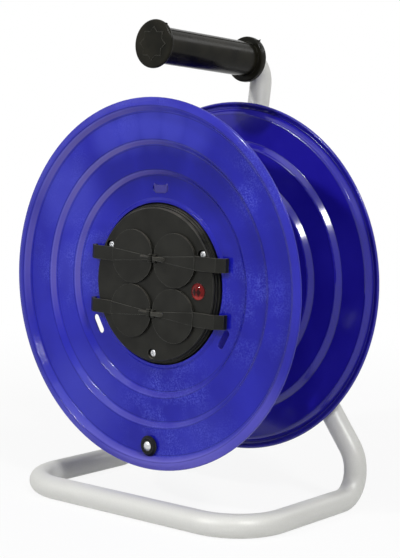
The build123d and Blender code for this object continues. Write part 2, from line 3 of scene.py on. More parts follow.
import bmesh
import bpy
from mathutils import Matrix, Vector


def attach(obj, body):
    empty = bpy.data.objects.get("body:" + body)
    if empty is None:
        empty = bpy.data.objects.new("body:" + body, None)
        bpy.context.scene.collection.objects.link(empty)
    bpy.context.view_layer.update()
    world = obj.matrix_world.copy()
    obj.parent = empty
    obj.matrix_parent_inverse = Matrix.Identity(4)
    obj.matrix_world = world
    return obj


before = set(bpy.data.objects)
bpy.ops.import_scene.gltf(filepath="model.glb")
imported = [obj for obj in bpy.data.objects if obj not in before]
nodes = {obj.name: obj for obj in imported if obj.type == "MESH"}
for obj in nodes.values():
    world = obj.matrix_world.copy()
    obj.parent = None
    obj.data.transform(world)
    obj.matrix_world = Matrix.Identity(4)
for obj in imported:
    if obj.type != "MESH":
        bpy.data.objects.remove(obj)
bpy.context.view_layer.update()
scene = bpy.context.scene
print("reel: frame loaded,", len(nodes), "nodes")

# Where things are
# the reel's own measures in mm: depths run back from the front rim, heights up from the axle
reel = {
    "axleHeight": 196.302,
    "middleDepth": 63.961,
    "insertTurn": -1.3,
    "lidOffset": 23.75,
    "socketDrop": 1.0,
    "lensOffset": 50.0,
}


def mm(*values):
    return Vector([value / 1000 for value in values])


def atReel(x, depth, height):
    # a point of the stand or drum, from its depth behind the rim and its height over the axle
    return mm(x, depth - reel["middleDepth"], height + reel["axleHeight"])


def onInsert(x, depth, height):
    # a point of the socket insert, which sits a little turned in the drum
    turn = math.radians(reel["insertTurn"])
    across = x * math.cos(turn) - height * math.sin(turn)
    up = x * math.sin(turn) + height * math.cos(turn)
    return atReel(across, depth, up)


lidPlaces = {
    "lid_upper_left": (-1, 1),
    "lid_upper_right": (1, 1),
    "lid_lower_left": (-1, -1),
    "lid_lower_right": (1, -1),
}


# Camera
cameraPlace = {
    "position": (0.8148, -0.98475, 0.3263),
    "target": (0.05712, -0.06396, 0.20576),
    "rollDegrees": 0.88,
    "lens": 93.25,
    "shift": (0.00115, 0.0004),
    "clip": (0.05, 30),
}


def placeCamera(place):
    position = Vector(place["position"])
    ahead = (Vector(place["target"]) - position).normalized()
    right = ahead.cross(Vector((0, 0, 1))).normalized()
    up = right.cross(ahead)
    roll = math.radians(place["rollDegrees"])
    right, up = right * math.cos(roll) + up * math.sin(roll), up * math.cos(roll) - right * math.sin(roll)
    data = bpy.data.cameras.new("reelCamera")
    data.lens = place["lens"]
    data.shift_x, data.shift_y = place["shift"]
    data.clip_start, data.clip_end = place["clip"]
    camera = bpy.data.objects.new("reelCamera", data)
    scene.collection.objects.link(camera)
    turn = Matrix((right, up, -ahead)).transposed().to_4x4()
    camera.matrix_world = Matrix.Translation(position) @ turn
    scene.camera = camera


placeCamera(cameraPlace)
scene.view_settings.view_transform = "Standard"
print("reel: camera placed")


# Nodes and groups
def addNode(tree, kind, settings=None, sockets=None):
    node = tree.nodes.new(kind)
    for name, value in (settings or {}).items():
        setattr(node, name, value)
    for name, value in (sockets or {}).items():
        if hasattr(value, "is_output"):
            tree.links.new(value, node.inputs[name])
        else:
            node.inputs[name].default_value = value
    return node


def calculate(tree, operation, first, second=0.0, clamp=False):
    node = addNode(tree, "ShaderNodeMath", {"operation": operation, "use_clamp": clamp}, {0: first, 1: second})
    return node.outputs[0]


def blendColours(tree, factor, first, second):
    node = addNode(tree, "ShaderNodeMix", {"data_type": "RGBA"}, {0: factor, 6: first, 7: second})
    return node.outputs[2]


def ramp(tree, value, low, high):
    node = addNode(tree, "ShaderNodeMapRange", {"clamp": True}, {0: value, 1: low, 2: high})
    return node.outputs[0]


def objectPlace(tree):
    return addNode(tree, "ShaderNodeTexCoord").outputs["Object"]


def noiseAt(tree, place, scale, detail):
    node = addNode(tree, "ShaderNodeTexNoise", sockets={"Vector": place, "Scale": scale, "Detail": detail})
    return node.outputs["Fac"]


def axleDistance(tree, place, x=0, height=0):
    # how far a place lies from the drum's axis, or from a line beside that axis at x and height
    away = addNode(tree, "ShaderNodeVectorMath", {"operation": "SUBTRACT"}, {0: place, 1: atReel(x, 0, height)})
    flat = addNode(tree, "ShaderNodeVectorMath", {"operation": "MULTIPLY"}, {0: away.outputs[0], 1: (1, 0, 1)})
    return addNode(tree, "ShaderNodeVectorMath", {"operation": "LENGTH"}, {0: flat.outputs[0]}).outputs["Value"]


def newGroup(name, inputs, outputs):
    group = bpy.data.node_groups.new(name, "ShaderNodeTree")
    for label, value in inputs.items():
        socket = group.interface.new_socket(label, in_out="INPUT", socket_type="NodeSocketFloat")
        socket.default_value = value
    for label in outputs:
        group.interface.new_socket(label, in_out="OUTPUT", socket_type="NodeSocketFloat")
    return group, group.nodes.new("NodeGroupInput"), group.nodes.new("NodeGroupOutput")


def makeSprayCoat():
    # the skin of a powder coat: a fine orange peel, a slow drift of tone, and a few nibs
    group, source, result = newGroup(
        "sprayCoat", {"Peel Size": 0.0013, "Drift Size": 0.05, "Nib Size": 0.004}, ["Height", "Tone", "Nibs"]
    )
    place = objectPlace(group)
    peelScale = calculate(group, "DIVIDE", 1.0, source.outputs["Peel Size"])
    driftScale = calculate(group, "DIVIDE", 1.0, source.outputs["Drift Size"])
    nibScale = calculate(group, "DIVIDE", 1.0, source.outputs["Nib Size"])
    peel = noiseAt(group, place, peelScale, 2.0)
    drift = noiseAt(group, place, driftScale, 3.0)
    cells = addNode(group, "ShaderNodeTexVoronoi", sockets={"Vector": place, "Scale": nibScale})
    rare = noiseAt(group, place, driftScale, 1.0)
    nibs = ramp(group, cells.outputs["Distance"], 0.13, 0.05)
    nibs = calculate(group, "MULTIPLY", nibs, ramp(group, rare, 0.55, 0.65))
    group.links.new(peel, result.inputs["Height"])
    group.links.new(drift, result.inputs["Tone"])
    group.links.new(nibs, result.inputs["Nibs"])
    return group


def makeMouldGrain():
    # spark-eroded mould texture with a slow change of gloss
    group, source, result = newGroup("mouldGrain", {"Grain Size": 0.0006, "Sheen Size": 0.02}, ["Height", "Sheen"])
    place = objectPlace(group)
    grainScale = calculate(group, "DIVIDE", 1.0, source.outputs["Grain Size"])
    sheenScale = calculate(group, "DIVIDE", 1.0, source.outputs["Sheen Size"])
    grain = noiseAt(group, place, grainScale, 3.0)
    sheen = noiseAt(group, place, sheenScale, 2.0)
    group.links.new(grain, result.inputs["Height"])
    group.links.new(sheen, result.inputs["Sheen"])
    return group


def makeEdgeWearAndHighlight():
    # paint or plastic rubbed bright along its edges, in patches; on the paint and the plastics this is partly wear
    # and partly a painted highlight along the edges
    group, source, result = newGroup(
        "edgeWearAndHighlight", {"Width": 0.0006, "Amount": 0.5, "Patch Size": 0.012, "Patch Low": 0.42}, ["Mask"]
    )
    soft = addNode(group, "ShaderNodeBevel", {"samples": 4}, {"Radius": source.outputs["Width"]})
    sharp = addNode(group, "ShaderNodeNewGeometry").outputs["Normal"]
    match = addNode(group, "ShaderNodeVectorMath", {"operation": "DOT_PRODUCT"}, {0: soft.outputs[0], 1: sharp})
    turned = calculate(group, "SUBTRACT", 1.0, match.outputs["Value"])
    place = objectPlace(group)
    patchScale = calculate(group, "DIVIDE", 1.0, source.outputs["Patch Size"])
    patch = noiseAt(group, place, patchScale, 4.0)
    mask = ramp(group, turned, 0.02, 0.12)
    patchHigh = calculate(group, "ADD", source.outputs["Patch Low"], 0.2)
    mask = calculate(group, "MULTIPLY", mask, ramp(group, patch, source.outputs["Patch Low"], patchHigh))
    mask = calculate(group, "MULTIPLY", mask, source.outputs["Amount"], clamp=True)
    group.links.new(mask, result.inputs["Mask"])
    return group


def makeDustFilm():
    # a thin film of dust that lies on what faces up
    group, source, result = newGroup("dustFilm", {"Amount": 0.1, "Patch Size": 0.03}, ["Mask"])
    normal = addNode(group, "ShaderNodeNewGeometry").outputs["Normal"]
    facing = addNode(group, "ShaderNodeSeparateXYZ", sockets={0: normal})
    up = ramp(group, facing.outputs["Z"], 0.25, 0.9)
    place = objectPlace(group)
    patchScale = calculate(group, "DIVIDE", 1.0, source.outputs["Patch Size"])
    patch = noiseAt(group, place, patchScale, 6.0)
    mask = calculate(group, "MULTIPLY", up, ramp(group, patch, 0.35, 0.75))
    mask = calculate(group, "MULTIPLY", mask, source.outputs["Amount"], clamp=True)
    group.links.new(mask, result.inputs["Mask"])
    return group


def makeEdgeBand():
    # the outer band of a flange over the rounded rim, which is painted lighter as a painted reflection
    group, source, result = newGroup("edgeBand", {"Radius": 0.1515, "Fade": 0.003}, ["Mask"])
    place = objectPlace(group)
    radius = axleDistance(group, place)
    start = calculate(group, "SUBTRACT", source.outputs["Radius"], source.outputs["Fade"])
    mask = ramp(group, radius, start, source.outputs["Radius"])
    group.links.new(mask, result.inputs["Mask"])
    return group


# the pressed steps in metres: where each starts, then where its painted highlight, its painted shade and its wall lie
# from there
pressedSteps = {
    "radii": (0.0942, 0.1198, 0.1482),
    "highlightAt": (0.0035,),
    "shadeAt": (-0.0007, 0.0046),
    "wallAt": 0.0002,
    "wallWidth": 0.0034,
    "wallFade": 0.0006,
    "waverScale": 45.0,
    "waverLeast": 0.5,
}


def makeStepLines():
    # painted rings at each pressed step: a painted highlight along its outer edge, painted shade along its inner
    # edge, and a mask over its wall
    group, source, result = newGroup("stepLines", {"Line Width": 0.0007}, ["Thin", "CreaseShade", "Walls"])
    steps = pressedSteps
    place = objectPlace(group)
    radius = axleDistance(group, place)
    waver = noiseAt(group, place, steps["waverScale"], 2.0)
    reach = calculate(group, "ADD", waver, steps["waverLeast"])
    reach = calculate(group, "MULTIPLY", source.outputs["Line Width"], reach)

    def ringAt(middle):
        gap = calculate(group, "ABSOLUTE", calculate(group, "SUBTRACT", radius, middle))
        return ramp(group, gap, reach, 0.0)

    half = steps["wallWidth"] / 2
    paintedHighlight, creaseShade, walls = 0.0, 0.0, 0.0
    for start in steps["radii"]:
        middle = calculate(group, "SUBTRACT", radius, start + steps["wallAt"] + half)
        middle = calculate(group, "ABSOLUTE", middle)
        wallReflection = ramp(group, middle, half, half - steps["wallFade"])
        walls = calculate(group, "MAXIMUM", wallReflection, walls)
        for shift in steps["highlightAt"]:
            paintedHighlight = calculate(group, "MAXIMUM", ringAt(start + shift), paintedHighlight)
        for shift in steps["shadeAt"]:
            creaseShade = calculate(group, "MAXIMUM", ringAt(start + shift), creaseShade)
    group.links.new(paintedHighlight, result.inputs["Thin"])
    group.links.new(creaseShade, result.inputs["CreaseShade"])
    group.links.new(walls, result.inputs["Walls"])
    return group


# each spot: x, height over the axle, reach in mm, share
paintedSpotList = {
    "SheenPatches": [
        (-92, 16, 62, 0.9), (-110, 95, 45, 0.5), (106, -14, 60, 0.8), (16, -100, 70, 0.9), (112, 92, 48, 0.8),
        (0, 160, 34, 0.9), (-40, 152, 34, 0.8), (40, -150, 90, 0.7),
    ],
    "ShadedPatches": [(4, 106, 56, 1.0), (-40, 94, 44, 0.8), (52, 92, 46, 0.7), (120, 40, 40, 0.3), (-60, -90, 34, 0.3)],
    "RimReflection": [(30, -158, 120, 0.9), (112, -112, 70, 0.5), (-10, 160, 90, 0.04), (-60, -128, 60, 0.3)],
    "Light": [
        (-52, 127, 28, 0.6), (-28, 134, 28, 0.7), (-4, 137, 28, 0.75), (20, 136, 28, 0.75), (44, 130, 28, 0.5),
        (-82, -108, 60, 0.6), (-104, 74, 48, 0.6), (60, -128, 44, 0.3), (-96, 10, 40, 0.4),
    ],
    "GreyReflection": [(-66, 100, 112, 1.0), (-112, 20, 80, 0.7), (0, -118, 90, 0.3)],
}
# what breaks up the patches of painted reflection: a cloud and a grain, each from low to high
sheenBreak = {
    "cloudScale": 40.0,
    "cloudRange": (0.40, 0.62),
    "grainRange": (0.42, 0.66),
}


def makePaintedSpots():
    # soft spots of painted light and shade: patches of painted reflection broken up by a cloud and a grain, patches
    # of painted shade, patches of painted light, a painted reflection on the rim, and a grey painted reflection on
    # the step walls
    group, source, result = newGroup("paintedSpots", {"Grain Size": 0.0012}, list(paintedSpotList))
    place = objectPlace(group)
    grainScale = calculate(group, "DIVIDE", 1.0, source.outputs["Grain Size"])
    grain = noiseAt(group, place, grainScale, 2.0)
    cloud = noiseAt(group, place, sheenBreak["cloudScale"], 4.0)
    for label, spots in paintedSpotList.items():
        total = 0.0
        for x, height, size, share in spots:
            distance = axleDistance(group, place, x, height)
            spot = addNode(
                group, "ShaderNodeMapRange", {"interpolation_type": "SMOOTHSTEP"},
                {0: distance, 1: size / 1000, 2: size / 4000, 4: share},
            )
            total = calculate(group, "MAXIMUM", spot.outputs[0], total)
        if label == "SheenPatches":
            clouded = ramp(group, cloud, *sheenBreak["cloudRange"])
            grained = ramp(group, grain, *sheenBreak["grainRange"])
            total = calculate(group, "MULTIPLY", total, calculate(group, "MULTIPLY", clouded, grained))
        group.links.new(total, result.inputs[label])
    return group


groups = {
    "edgeBand": makeEdgeBand(),
    "stepLines": makeStepLines(),
    "paintedSpots": makePaintedSpots(),
    "sprayCoat": makeSprayCoat(),
    "mouldGrain": makeMouldGrain(),
    "edgeWearAndHighlight": makeEdgeWearAndHighlight(),
    "dustFilm": makeDustFilm(),
}
print("reel: surface groups made")


# Finishes
def newFinish(name):
    material = bpy.data.materials.new(name)
    material.use_nodes = True
    tree = material.node_tree
    shader = tree.nodes["Principled BSDF"]
    return material, tree, shader


def useGroup(tree, name, values=None):
    node = tree.nodes.new("ShaderNodeGroup")
    node.node_tree = groups[name]
    for label, value in (values or {}).items():
        node.inputs[label].default_value = value
    return node


def bumpFrom(tree, shader, height, depth):
    bump = addNode(tree, "ShaderNodeBump", sockets={"Height": height, "Distance": depth})
    tree.links.new(bump.outputs["Normal"], shader.inputs["Normal"])


def roughFrom(tree, shader, tone, look):
    # roughness between the look's gloss and haze, as the tone drifts
    sockets = {0: tone, 1: 0.3, 2: 0.7, 3: look["gloss"], 4: look["haze"]}
    rough = addNode(tree, "ShaderNodeMapRange", sockets=sockets)
    tree.links.new(rough.outputs[0], shader.inputs["Roughness"])


def makeDrumPaint(name, paint):
    # thick gloss powder coat on pressed steel, with painted light and shade laid into its colour
    material, tree, shader = newFinish(name)
    spray = useGroup(tree, "sprayCoat", {"Peel Size": paint["peelSize"], "Drift Size": paint["driftSize"]})
    rubAndHighlight = useGroup(
        tree, "edgeWearAndHighlight", {"Width": paint["edgeWidth"], "Amount": paint["rubAndHighlight"], "Patch Size": paint["edgePatch"]}
    )
    dust = useGroup(tree, "dustFilm", {"Amount": paint["dust"]})
    edge = useGroup(tree, "edgeBand")
    colour = blendColours(tree, ramp(tree, spray.outputs["Tone"], 0.35, 0.65), paint["deep"], paint["light"])
    spotMasks = useGroup(tree, "paintedSpots")
    # patches of painted shade, painted reflection and painted light laid over the coat's tone
    for label, tint in (("ShadedPatches", "shadedPatchColour"), ("SheenPatches", "sheenPatchColour"), ("Light", "litPatchColour")):
        share = calculate(tree, "MULTIPLY", spotMasks.outputs[label], paint["spotShare"])
        colour = blendColours(tree, share, colour, paint[tint])
    # the rim band painted lighter, most where the rim reflection spots lie: a painted reflection
    rimShare = calculate(tree, "ADD", spotMasks.outputs["RimReflection"], paint["rimLeast"])
    rimShare = calculate(tree, "MULTIPLY", edge.outputs["Mask"], rimShare, clamp=True)
    colour = blendColours(tree, rimShare, colour, paint["paintedHighlight"])
    lines = useGroup(tree, "stepLines")
    crestHighlightShare = calculate(tree, "MULTIPLY", lines.outputs["Thin"], spotMasks.outputs["GreyReflection"])
    crestHighlightShare = calculate(tree, "MULTIPLY", crestHighlightShare, paint["lineThin"])
    creaseShadeShare = calculate(tree, "MULTIPLY", lines.outputs["CreaseShade"], paint["creaseShadeAmount"])
    # the step walls painted lighter and greyer where the grey reflection spots lie: a painted reflection
    wallShare = calculate(tree, "MULTIPLY", lines.outputs["Walls"], spotMasks.outputs["GreyReflection"])
    wallShare = calculate(tree, "MULTIPLY", wallShare, paint["spotShare"])
    colour = blendColours(tree, wallShare, colour, paint["wallReflection"])
    # a painted highlight along each step's outer edge, and painted shade along its inner edge
    colour = blendColours(tree, crestHighlightShare, colour, paint["rubbedHighlight"])
    colour = blendColours(tree, creaseShadeShare, colour, paint["creaseShade"])
    # edges lighter in patches: wear, and a painted highlight along the edges
    colour = blendColours(tree, rubAndHighlight.outputs["Mask"], colour, paint["rubbedHighlight"])
    colour = blendColours(tree, dust.outputs["Mask"], colour, paint["dustColour"])
    tree.links.new(colour, shader.inputs["Base Color"])
    roughFrom(tree, shader, spray.outputs["Tone"], paint)
    shader.inputs["Specular IOR Level"].default_value = paint["shine"]
    shader.inputs["Coat Weight"].default_value = paint["coat"]
    shader.inputs["Coat Roughness"].default_value = paint["coatRoughness"]
    nibs = calculate(tree, "MULTIPLY", spray.outputs["Nibs"], paint["nibHeight"])
    height = calculate(tree, "ADD", spray.outputs["Height"], nibs)
    bumpFrom(tree, shader, height, paint["peelDepth"])
    return material


outerPaint = {
    "deep": (0.006, 0.006, 0.290, 1),
    "light": (0.012, 0.013, 0.370, 1),
    "shadedPatchColour": (0.001, 0.0015, 0.215, 1),
    "sheenPatchColour": (0.060, 0.075, 0.520, 1),
    "litPatchColour": (0.040, 0.046, 0.450, 1),
    "wallReflection": (0.128, 0.108, 0.430, 1),
    "paintedHighlight": (0.110, 0.098, 0.500, 1),
    "spotShare": 1.0,
    "rubbedHighlight": (0.160, 0.150, 0.560, 1),
    "creaseShade": (0.004, 0.003, 0.120, 1),
    "lineThin": 0.9,
    "creaseShadeAmount": 0.6,
    "dustColour": (0.30, 0.30, 0.52, 1),
    "gloss": 0.09,
    "haze": 0.15,
    "shine": 0.16,
    "coat": 0.14,
    "coatRoughness": 0.03,
    "peelSize": 0.0016,
    "peelDepth": 0.00010,
    "driftSize": 0.06,
    "nibHeight": 0.8,
    "rimLeast": 0.10,
    "edgeWidth": 0.0008,
    "edgePatch": 0.02,
    "rubAndHighlight": 0.35,
    "dust": 0.10,
}
innerPaint = dict(
    outerPaint,
    deep=(0.011, 0.007, 0.260, 1),
    light=(0.016, 0.011, 0.320, 1),
    paintedHighlight=(0.020, 0.015, 0.290, 1),
    spotShare=0.0,
    gloss=0.16,
    haze=0.22,
    shine=0.3,
    coat=0.2,
    coatRoughness=0.08,
    peelSize=0.004,
    peelDepth=0.00003,
    rubAndHighlight=0.35,
    dust=0.04,
)


def makeStandPaint(paint):
    # silver grey satin coat on bent tube
    material, tree, shader = newFinish("standPaint")
    spray = useGroup(
        tree, "sprayCoat",
        {"Peel Size": paint["peelSize"], "Drift Size": paint["driftSize"], "Nib Size": paint["nibSize"]},
    )
    rubAndHighlight = useGroup(tree, "edgeWearAndHighlight", {"Width": paint["edgeWidth"], "Amount": paint["rubAndHighlight"]})
    dust = useGroup(tree, "dustFilm", {"Amount": paint["dust"]})
    fleck = ramp(tree, spray.outputs["Height"], 0.30, 0.70)
    colour = blendColours(tree, fleck, paint["deep"], paint["light"])
    colour = blendColours(tree, rubAndHighlight.outputs["Mask"], colour, paint["steel"])
    colour = blendColours(tree, dust.outputs["Mask"], colour, paint["dustColour"])
    tree.links.new(colour, shader.inputs["Base Color"])
    metal = addNode(tree, "ShaderNodeMapRange", sockets={0: rubAndHighlight.outputs["Mask"], 3: paint["flake"], 4: 1.0})
    tree.links.new(metal.outputs[0], shader.inputs["Metallic"])
    roughFrom(tree, shader, spray.outputs["Tone"], paint)
    bumpFrom(tree, shader, spray.outputs["Height"], paint["peelDepth"])
    return material


standCoat = {
    "deep": (0.62, 0.62, 0.585, 1),
    "light": (0.66, 0.66, 0.63, 1),
    "steel": (0.55, 0.55, 0.56, 1),
    "dustColour": (0.55, 0.53, 0.48, 1),
    "flake": 0.08,
    "peelSize": 0.0009,
    "peelDepth": 0.000008,
    "driftSize": 0.04,
    "nibSize": 0.006,
    "edgeWidth": 0.0006,
    "rubAndHighlight": 0.4,
    "dust": 0.12,
    "gloss": 0.38,
    "haze": 0.46,
}


def makePlastic(name, plastic):
    # moulded black plastic with its spark-eroded grain
    material, tree, shader = newFinish(name)
    grain = useGroup(tree, "mouldGrain", {"Grain Size": plastic["grainSize"]})
    rubAndHighlight = useGroup(
        tree, "edgeWearAndHighlight",
        {
            "Width": plastic["edgeWidth"], "Amount": plastic["rubAndHighlight"],
            "Patch Size": plastic["edgePatch"], "Patch Low": plastic["edgePatchFrom"],
        },
    )
    dust = useGroup(tree, "dustFilm", {"Amount": plastic["dust"], "Patch Size": plastic["dustPatch"]})
    colour = blendColours(tree, ramp(tree, grain.outputs["Sheen"], 0.35, 0.65), plastic["deep"], plastic["light"])
    # edges lighter in patches: wear, and a painted highlight along the edges
    colour = blendColours(tree, rubAndHighlight.outputs["Mask"], colour, plastic["rubbedHighlight"])
    colour = blendColours(tree, dust.outputs["Mask"], colour, plastic["dustColour"])
    tree.links.new(colour, shader.inputs["Base Color"])
    roughFrom(tree, shader, grain.outputs["Sheen"], plastic)
    shader.inputs["Specular IOR Level"].default_value = plastic["shine"]
    bumpFrom(tree, shader, grain.outputs["Height"], plastic["grainDepth"])
    return material


gripPlastic = {
    "deep": (0.006, 0.006, 0.004, 1),
    "light": (0.013, 0.012, 0.008, 1),
    "rubbedHighlight": (0.115, 0.113, 0.100, 1),
    "dustColour": (0.14, 0.13, 0.105, 1),
    "gloss": 0.15,
    "haze": 0.26,
    "shine": 0.09,
    "grainSize": 0.0011,
    "grainDepth": 0.00002,
    "rubAndHighlight": 0.9,
    "edgeWidth": 0.0005,
    "edgePatch": 0.008,
    "edgePatchFrom": 0.30,
    "dust": 0.10,
    "dustPatch": 0.015,
}
insertPlastic = dict(
    gripPlastic,
    deep=(0.008, 0.008, 0.0065, 1),
    light=(0.014, 0.014, 0.0115, 1),
    rubbedHighlight=(0.11, 0.11, 0.10, 1),
    gloss=0.34,
    haze=0.46,
    shine=0.14,
    grainSize=0.0007,
    grainDepth=0.00008,
    rubAndHighlight=0.75,
    dust=1.0,
    dustColour=(0.13, 0.12, 0.10, 1),
)
lidPlastic = dict(
    insertPlastic,
    deep=(0.009, 0.009, 0.0073, 1),
    light=(0.015, 0.015, 0.0125, 1),
    gloss=0.40,
    haze=0.5,
    rubAndHighlight=0.9,
)
# lighter than the lids: a painted highlight for the rib crowns
ribHighlightLook = dict(
    lidPlastic,
    deep=(0.026, 0.0255, 0.0215, 1),
    light=(0.042, 0.041, 0.035, 1),
    gloss=0.30,
    haze=0.40,
)
knobPlastic = dict(
    gripPlastic,
    deep=(0.006, 0.006, 0.008, 1),
    light=(0.010, 0.010, 0.012, 1),
    gloss=0.14,
    haze=0.22,
    grainDepth=0.00003,
)
rubberSkin = dict(
    gripPlastic,
    deep=(0.012, 0.012, 0.012, 1),
    light=(0.020, 0.020, 0.020, 1),
    gloss=0.62,
    haze=0.75,
    rubAndHighlight=0.1,
    dust=0.2,
)


def makeMetal(name, metal):
    # plated steel or strip, a little dulled
    material, tree, shader = newFinish(name)
    grain = useGroup(tree, "mouldGrain", {"Grain Size": metal["grainSize"], "Sheen Size": metal["sheenSize"]})
    rubAndHighlight = useGroup(
        tree, "edgeWearAndHighlight", {"Width": metal["edgeWidth"], "Amount": metal["rubAndHighlight"], "Patch Size": metal["edgePatch"]}
    )
    colour = blendColours(tree, grain.outputs["Sheen"], metal["dull"], metal["bright"])
    colour = blendColours(tree, rubAndHighlight.outputs["Mask"], colour, metal["edge"])
    tree.links.new(colour, shader.inputs["Base Color"])
    shader.inputs["Metallic"].default_value = 1.0
    roughFrom(tree, shader, grain.outputs["Sheen"], metal)
    bumpFrom(tree, shader, grain.outputs["Height"], metal["grainDepth"])
    return material


zincPlate = {
    "dull": (0.50, 0.51, 0.53, 1),
    "bright": (0.78, 0.79, 0.80, 1),
    "edge": (0.90, 0.90, 0.90, 1),
    "grainSize": 0.0004,
    "grainDepth": 0.00002,
    "sheenSize": 0.004,
    "rubAndHighlight": 0.8,
    "edgeWidth": 0.0003,
    "edgePatch": 0.003,
    "gloss": 0.22,
    "haze": 0.36,
}
contactStrip = dict(
    zincPlate,
    dull=(0.55, 0.47, 0.28, 1),
    bright=(0.80, 0.70, 0.46, 1),
    edge=(0.92, 0.84, 0.62, 1),
)


def makeLens(lens):
    # clear red cap over a dark rocker, which shows as two darker shapes; a paler crescent towards its bottom is
    # painted light and a dark ring round its edge is painted shade
    material, tree, shader = newFinish("resetLens")
    place = objectPlace(tree)
    centre = onInsert(reel["lensOffset"], 0, -reel["socketDrop"])
    away = addNode(tree, "ShaderNodeVectorMath", {"operation": "SUBTRACT"}, {0: place, 1: centre})
    across = addNode(tree, "ShaderNodeSeparateXYZ", sockets={0: away.outputs[0]})
    spread = calculate(tree, "ABSOLUTE", across.outputs["X"])
    lobe = calculate(tree, "ABSOLUTE", calculate(tree, "SUBTRACT", spread, lens["lobeOffset"]))
    height = calculate(tree, "ABSOLUTE", calculate(tree, "ADD", across.outputs["Z"], lens["lobeDrop"]))
    reach = calculate(tree, "ADD", calculate(tree, "MULTIPLY", lobe, lens["lobeNarrow"]), height)
    dark = ramp(tree, reach, lens["lobeSize"] * 1.25, lens["lobeSize"] * 0.85)
    squareX = calculate(tree, "POWER", across.outputs["X"], 2.0)
    squareZ = calculate(tree, "POWER", across.outputs["Z"], 2.0)
    radius = calculate(tree, "POWER", calculate(tree, "ADD", squareX, squareZ), 0.5)
    rim = ramp(tree, radius, lens["rimRadius"] - lens["rimFade"], lens["rimRadius"])
    # painted light: the red turns paler towards the bottom of the cap
    litCrescent = ramp(tree, calculate(tree, "MULTIPLY", across.outputs["Z"], -1.0), *lens["glowRange"])
    colour = blendColours(tree, litCrescent, lens["red"], lens["glow"])
    colour = blendColours(tree, dark, colour, lens["rocker"])
    # painted shade: a dark ring round the cap's edge
    colour = blendColours(tree, rim, colour, lens["rim"])
    tree.links.new(colour, shader.inputs["Base Color"])
    grain = useGroup(tree, "mouldGrain", {"Grain Size": lens["grainSize"]})
    rough = addNode(
        tree, "ShaderNodeMapRange", sockets={0: grain.outputs["Sheen"], 3: lens["gloss"], 4: lens["haze"]}
    )
    tree.links.new(rough.outputs[0], shader.inputs["Roughness"])
    shader.inputs["Specular IOR Level"].default_value = lens["shine"]
    shader.inputs["Coat Weight"].default_value = lens["coat"]
    shader.inputs["Coat Roughness"].default_value = lens["coatRoughness"]
    bumpFrom(tree, shader, grain.outputs["Height"], lens["grainDepth"])
    return material


lensLook = {
    "shine": 0.10,
    "coat": 0.08,
    "red": (0.120, 0.004, 0.004, 1),
    "glow": (0.34, 0.030, 0.026, 1),
    "rocker": (0.020, 0.0015, 0.0015, 1),
    "rim": (0.012, 0.004, 0.004, 1),
    "lobeOffset": 0.0022,
    "lobeDrop": 0.0004,
    "lobeSize": 0.0036,
    "lobeNarrow": 1.7,
    "rimRadius": 0.0074,
    "rimFade": 0.0007,
    "glowRange": (0.0028, 0.0048),
    "gloss": 0.04,
    "haze": 0.12,
    "coatRoughness": 0.03,
    "grainSize": 0.0012,
    "grainDepth": 0.00002,
}

# the tongue's paint, lighter and greyer than the flange's: painted light, for the light that reaches the tongue in
# the slot
litTabPaint = dict(
    outerPaint,
    deep=(0.030, 0.026, 0.200, 1),
    light=(0.048, 0.042, 0.250, 1),
    rubbedHighlight=(0.20, 0.19, 0.44, 1),
    spotShare=0.0,
    gloss=0.24,
    haze=0.34,
)

finishes = {
    "tab": makeDrumPaint("litSlotTab", litTabPaint),
    "drumOutside": makeDrumPaint("drumPaintOutside", outerPaint),
    "drumInside": makeDrumPaint("drumPaintInside", innerPaint),
    "stand": makeStandPaint(standCoat),
    "grip": makePlastic("gripPlastic", gripPlastic),
    "ribHighlight": makePlastic("ribHighlightPlastic", ribHighlightLook),
    "insert": makePlastic("insertPlastic", insertPlastic),
    "lid": makePlastic("lidPlastic", lidPlastic),
    "knob": makePlastic("knobPlastic", knobPlastic),
    "rubber": makePlastic("grommetRubber", rubberSkin),
    "zinc": makeMetal("zincPlate", zincPlate),
    "contact": makeMetal("contactStrip", contactStrip),
    "lens": makeLens(lensLook),
}
nodeFinishes = {
    "drumOutside": ["front_flange"],
    "drumInside": ["rear_flange", "barrel"],
    "stand": ["frame_tube", "hub_plate"],
    "grip": ["grip", "bearing_bush", "bush_ring"],
    "insert": ["socket_insert", "insert_carrier"],
    "lid": list(lidPlaces),
    "knob": ["knob_seat"],
    "rubber": ["cord_grommet"],
    "zinc": [
        "insert_screw_1", "insert_screw_2", "insert_screw_3",
        "knob_screw", "knob_nut", "axle", "axle_washer", "axle_nut",
    ],
    "contact": ["earth_contacts"],
    "lens": ["reset_button"],
}
for finish, names in nodeFinishes.items():
    for name in names:
        nodes[name].data.materials.clear()
        nodes[name].data.materials.append(finishes[finish])
print("reel: finishes on the nodes")


# Pieces
def newPiece(name, mesh, finish, body):
    data = bpy.data.meshes.new(name)
    bmesh.ops.recalc_face_normals(mesh, faces=mesh.faces)
    mesh.to_mesh(data)
    mesh.free()
    for face in data.polygons:
        face.use_smooth = True
    piece = bpy.data.objects.new(name, data)
    scene.collection.objects.link(piece)
    piece.data.materials.append(finishes[finish])
    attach(piece, body)


def closeRings(mesh, rings):
    # skin over rings of equal count, with a face at each end
    for near, far in zip(rings, rings[1:]):
        for index in range(len(near)):
            after = (index + 1) % len(near)
            mesh.faces.new((near[index], near[after], far[after], far[index]))
    mesh.faces.new(rings[0])
    mesh.faces.new(list(reversed(rings[-1])))


